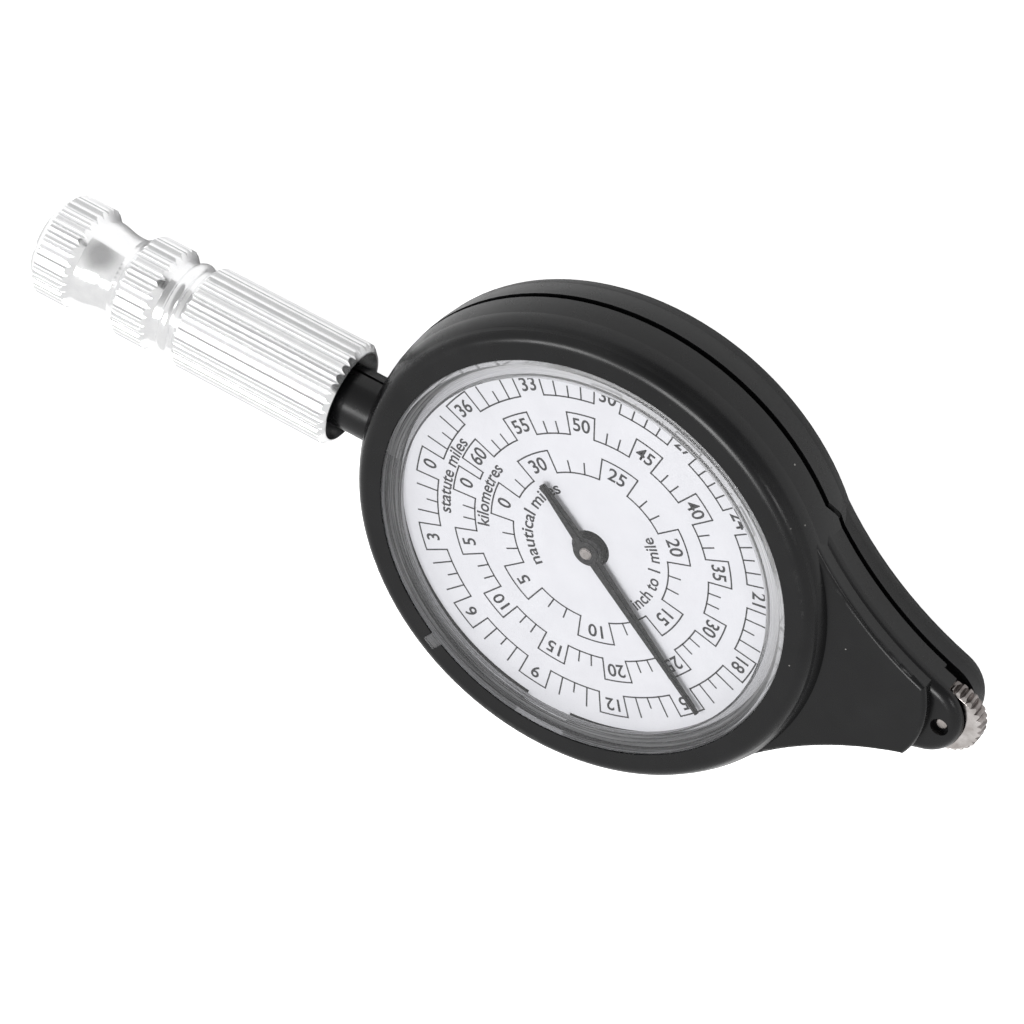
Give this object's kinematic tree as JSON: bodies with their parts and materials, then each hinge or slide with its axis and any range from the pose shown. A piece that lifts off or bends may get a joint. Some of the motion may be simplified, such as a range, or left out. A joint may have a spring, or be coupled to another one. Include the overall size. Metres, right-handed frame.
{
  "type": "map measuring wheel",
  "caption": "Hand-held map measuring wheel: teardrop black case with a glazed three-scale dial, a hand geared to a small toothed wheel in the nose, and a fluted metal handle.",
  "frame": {"origin": "on the flat back of the case, on the axis of the dial's hand", "axes": "+Z out of the dial along the hand's axis; +X from the dial centre towards the measuring wheel, along the handle's centreline; +Y completes a right-handed set"},
  "size_m": [0.0972, 0.0472, 0.0103],
  "materials": {
    "case_plastic": "moulded, semi-gloss",
    "bush_plastic": "moulded, matt",
    "window": "clear moulded",
    "dial_white": "printed, matt",
    "hand_paint": "blackened, satin",
    "pin_steel": "drawn",
    "wheel_nickel": "nickel-plated",
    "gear_plastic": "moulded",
    "pinion_brass": "cut",
    "plate_brass": "stamped",
    "screw_steel": "zinc-plated",
    "handle_aluminium": "turned and fluted, bright"
  },
  "bodies": {
    "case": {"front_cover": "case_plastic", "rear_cover": "case_plastic", "crystal": "window", "dial": "dial_white", "movement_plate": "plate_brass", "plate_screws": "screw_steel", "case_screws": "screw_steel", "handle_barrel": "handle_aluminium", "handle_head": "handle_aluminium", "handle_plug": "bush_plastic"},
    "wheel": {"wheel_axle": "pin_steel", "measuring_wheel": "wheel_nickel", "wheel_pinion": "pinion_brass"},
    "first_gear_pair": {"first_arbor": "pin_steel", "first_gear": "gear_plastic", "first_pinion": "pinion_brass"},
    "second_gear_pair": {"second_arbor": "pin_steel", "second_gear": "gear_plastic", "second_pinion": "pinion_brass"},
    "hand_and_gear": {"hand": "hand_paint", "hand_bush": "bush_plastic", "centre_arbor": "pin_steel", "centre_gear": "gear_plastic"}
  },
  "joints": [
    {"name": "wheel_spin", "type": "hinge", "parent": "case", "child": "wheel", "pos_m": [0.03442, 0, 0.005], "axis": [0, 0, 1], "continuous": true},
    {"name": "first_gear_spin", "type": "hinge", "parent": "case", "child": "first_gear_pair", "pos_m": [0.03018, 0, 0.005], "axis": [0, 0, 1], "continuous": true},
    {"name": "second_gear_spin", "type": "hinge", "parent": "case", "child": "second_gear_pair", "pos_m": [0.01963, 0, 0.005], "axis": [0, 0, 1], "continuous": true},
    {"name": "hand_spin", "type": "hinge", "parent": "case", "child": "hand_and_gear", "pos_m": [0, 0, 0.005], "axis": [0, 0, 1], "continuous": true}
  ],
  "couplings": [
    {"joint": "first_gear_spin", "follows": "wheel_spin", "ratio": -0.4},
    {"joint": "second_gear_spin", "follows": "wheel_spin", "ratio": 0.1},
    {"joint": "hand_spin", "follows": "wheel_spin", "ratio": -0.020833}
  ]
}
